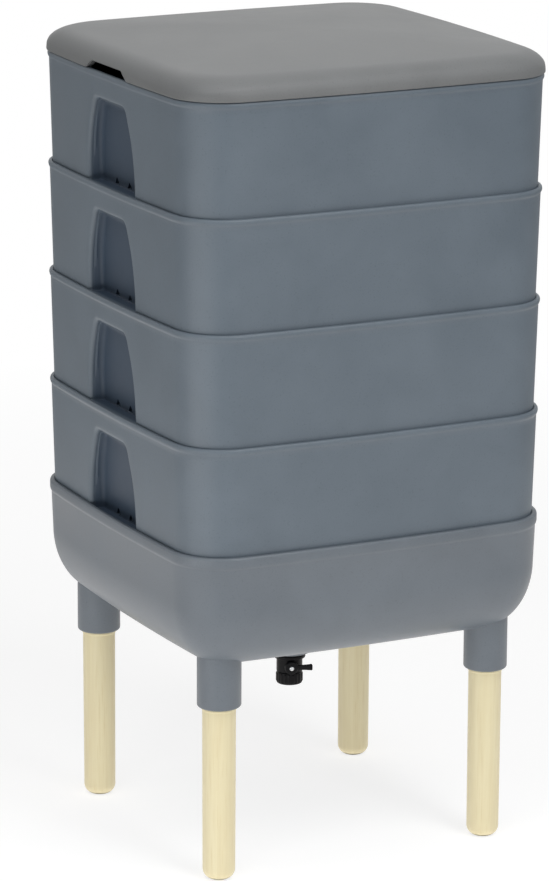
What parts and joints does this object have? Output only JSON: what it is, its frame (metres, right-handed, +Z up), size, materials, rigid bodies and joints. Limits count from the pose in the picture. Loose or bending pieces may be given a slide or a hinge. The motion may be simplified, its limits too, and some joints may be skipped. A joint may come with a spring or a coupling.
{
  "type": "stacking wormery",
  "caption": "Free-standing worm composter: nested perforated trays under a domed lid, over a draining basin with a lever tap, on round wooden legs.",
  "frame": {"origin": "on the ground under the middle of the stack", "axes": "+Z up, -Y to the front where the tap's lever is, the sides with grips facing -X and +X"},
  "size_m": [0.3844, 0.3734, 0.7754],
  "materials": {
    "tray_plastic": "fine matt moulded texture, slate grey",
    "base_plastic": "fine matt moulded texture, slate grey",
    "lid_plastic": "fine matt moulded texture, warmer and paler grey",
    "leg_wood": "pale turned wood, satin",
    "tap_plastic": "black moulded plastic, satin",
    "seal_rubber": "black rubber",
    "screw_steel": "bright zinc-plated screw"
  },
  "bodies": {
    "stand": {"collector_base": "base_plastic", "leg_front_left": "leg_wood", "leg_front_right": "leg_wood", "leg_rear_left": "leg_wood", "leg_rear_right": "leg_wood", "tap_body": "tap_plastic", "tap_outlet_collar": "tap_plastic", "tap_outer_gasket": "seal_rubber", "tap_inner_gasket": "seal_rubber", "tap_locknut": "tap_plastic", "drain_strainer": "tap_plastic"},
    "tray_4_body": {"tray_4": "tray_plastic"},
    "tray_3_body": {"tray_3": "tray_plastic"},
    "tray_2_body": {"tray_2": "tray_plastic"},
    "tray_1_body": {"tray_1": "tray_plastic"},
    "lid_body": {"lid": "lid_plastic"},
    "lever": {"tap_lever": "tap_plastic", "tap_screw": "screw_steel", "tap_seal_rear": "seal_rubber", "tap_seal_front": "seal_rubber"}
  },
  "joints": [
    {"name": "tray_4_lift", "type": "slide", "parent": "stand", "child": "tray_4_body", "axis": [0, 0, 1], "range_m": [0, 0.13]},
    {"name": "tray_3_lift", "type": "slide", "parent": "tray_4_body", "child": "tray_3_body", "axis": [0, 0, 1], "range_m": [0, 0.13]},
    {"name": "tray_2_lift", "type": "slide", "parent": "tray_3_body", "child": "tray_2_body", "axis": [0, 0, 1], "range_m": [0, 0.13]},
    {"name": "tray_1_lift", "type": "slide", "parent": "tray_2_body", "child": "tray_1_body", "axis": [0, 0, 1], "range_m": [0, 0.13]},
    {"name": "lid_lift", "type": "slide", "parent": "tray_1_body", "child": "lid_body", "axis": [0, 0, 1], "range_m": [0, 0.13]},
    {"name": "lever_turn", "type": "hinge", "parent": "stand", "child": "lever", "pos_m": [0, 0, 0.1529], "axis": [0.3256, 0.9455, 0], "range_deg": [0, 90]}
  ]
}
